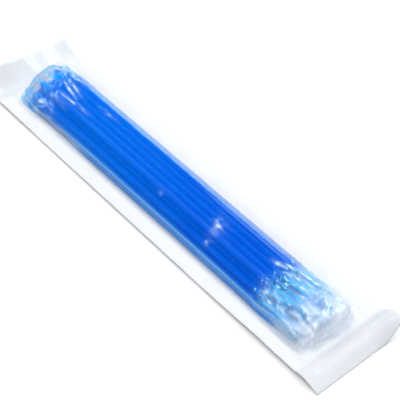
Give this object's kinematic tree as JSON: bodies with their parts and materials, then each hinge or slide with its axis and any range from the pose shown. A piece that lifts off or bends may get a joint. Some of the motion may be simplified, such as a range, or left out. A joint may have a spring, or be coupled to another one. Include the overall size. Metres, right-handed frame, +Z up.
{
  "type": "inoculating loop pack",
  "caption": "Sealed peel pack, clear formed film on a white web, holding a bundle of one-piece blue plastic inoculating loops with hexagonal handles, thin necks and ring ends.",
  "frame": {"origin": "middle of the underside of the white web, on the surface the pack lies on", "axes": "+X along the pack towards the ring ends of the loops, +Y across the pack, +Z up, out of the clear film"},
  "size_m": [0.25, 0.052, 0.0117],
  "materials": {
    "web": "smooth matte white web",
    "film": "clear glossy soft film, wrinkled at the ends",
    "loop": "slightly translucent blue moulded polystyrene"
  },
  "bodies": {
    "backing_web": {"backing_web": "web"},
    "top_film": {"top_film": "film"},
    "loop_01": {"loop_01_handle": "loop", "loop_01_tip": "loop"},
    "loop_02": {"loop_02_handle": "loop", "loop_02_tip": "loop"},
    "loop_03": {"loop_03_handle": "loop", "loop_03_tip": "loop"},
    "loop_04": {"loop_04_handle": "loop", "loop_04_tip": "loop"},
    "loop_05": {"loop_05_handle": "loop", "loop_05_tip": "loop"},
    "loop_06": {"loop_06_handle": "loop", "loop_06_tip": "loop"},
    "loop_07": {"loop_07_handle": "loop", "loop_07_tip": "loop"},
    "loop_08": {"loop_08_handle": "loop", "loop_08_tip": "loop"},
    "loop_09": {"loop_09_handle": "loop", "loop_09_tip": "loop"},
    "loop_10": {"loop_10_handle": "loop", "loop_10_tip": "loop"},
    "loop_11": {"loop_11_handle": "loop", "loop_11_tip": "loop"},
    "loop_12": {"loop_12_handle": "loop", "loop_12_tip": "loop"},
    "loop_13": {"loop_13_handle": "loop", "loop_13_tip": "loop"},
    "loop_14": {"loop_14_handle": "loop", "loop_14_tip": "loop"},
    "loop_15": {"loop_15_handle": "loop", "loop_15_tip": "loop"},
    "loop_16": {"loop_16_handle": "loop", "loop_16_tip": "loop"},
    "loop_17": {"loop_17_handle": "loop", "loop_17_tip": "loop"},
    "loop_18": {"loop_18_handle": "loop", "loop_18_tip": "loop"},
    "loop_19": {"loop_19_handle": "loop", "loop_19_tip": "loop"},
    "loop_20": {"loop_20_handle": "loop", "loop_20_tip": "loop"}
  },
  "joints": [
    {"name": "film_peel", "type": "hinge", "parent": "backing_web", "child": "top_film", "pos_m": [0.125, 0, 0.00045], "axis": [0, 1, 0], "range_deg": [0, 120]},
    {"name": "loop_01_slide", "type": "slide", "parent": "backing_web", "child": "loop_01", "axis": [1, 0, 0], "range_m": [-0.003, 0.003]},
    {"name": "loop_02_slide", "type": "slide", "parent": "backing_web", "child": "loop_02", "axis": [1, 0, 0], "range_m": [-0.003, 0.003]},
    {"name": "loop_03_slide", "type": "slide", "parent": "backing_web", "child": "loop_03", "axis": [1, 0, 0], "range_m": [-0.003, 0.003]},
    {"name": "loop_04_slide", "type": "slide", "parent": "backing_web", "child": "loop_04", "axis": [1, 0, 0], "range_m": [-0.003, 0.003]},
    {"name": "loop_05_slide", "type": "slide", "parent": "backing_web", "child": "loop_05", "axis": [1, 0, 0], "range_m": [-0.003, 0.003]},
    {"name": "loop_06_slide", "type": "slide", "parent": "backing_web", "child": "loop_06", "axis": [1, 0, 0], "range_m": [-0.003, 0.003]},
    {"name": "loop_07_slide", "type": "slide", "parent": "backing_web", "child": "loop_07", "axis": [1, 0, 0], "range_m": [-0.003, 0.003]},
    {"name": "loop_08_slide", "type": "slide", "parent": "backing_web", "child": "loop_08", "axis": [1, 0, 0], "range_m": [-0.003, 0.003]},
    {"name": "loop_09_slide", "type": "slide", "parent": "backing_web", "child": "loop_09", "axis": [1, 0, 0], "range_m": [-0.003, 0.003]},
    {"name": "loop_10_slide", "type": "slide", "parent": "backing_web", "child": "loop_10", "axis": [1, 0, 0], "range_m": [-0.003, 0.003]},
    {"name": "loop_11_slide", "type": "slide", "parent": "backing_web", "child": "loop_11", "axis": [1, 0, 0], "range_m": [-0.003, 0.003]},
    {"name": "loop_12_slide", "type": "slide", "parent": "backing_web", "child": "loop_12", "axis": [1, 0, 0], "range_m": [-0.003, 0.003]},
    {"name": "loop_13_slide", "type": "slide", "parent": "backing_web", "child": "loop_13", "axis": [1, 0, 0], "range_m": [-0.003, 0.003]},
    {"name": "loop_14_slide", "type": "slide", "parent": "backing_web", "child": "loop_14", "axis": [1, 0, 0], "range_m": [-0.003, 0.003]},
    {"name": "loop_15_slide", "type": "slide", "parent": "backing_web", "child": "loop_15", "axis": [1, 0, 0], "range_m": [-0.003, 0.003]},
    {"name": "loop_16_slide", "type": "slide", "parent": "backing_web", "child": "loop_16", "axis": [1, 0, 0], "range_m": [-0.003, 0.003]},
    {"name": "loop_17_slide", "type": "slide", "parent": "backing_web", "child": "loop_17", "axis": [1, 0, 0], "range_m": [-0.003, 0.003]},
    {"name": "loop_18_slide", "type": "slide", "parent": "backing_web", "child": "loop_18", "axis": [1, 0, 0], "range_m": [-0.003, 0.003]},
    {"name": "loop_19_slide", "type": "slide", "parent": "backing_web", "child": "loop_19", "axis": [1, 0, 0], "range_m": [-0.003, 0.003]},
    {"name": "loop_20_slide", "type": "slide", "parent": "backing_web", "child": "loop_20", "axis": [1, 0, 0], "range_m": [-0.003, 0.003]}
  ]
}
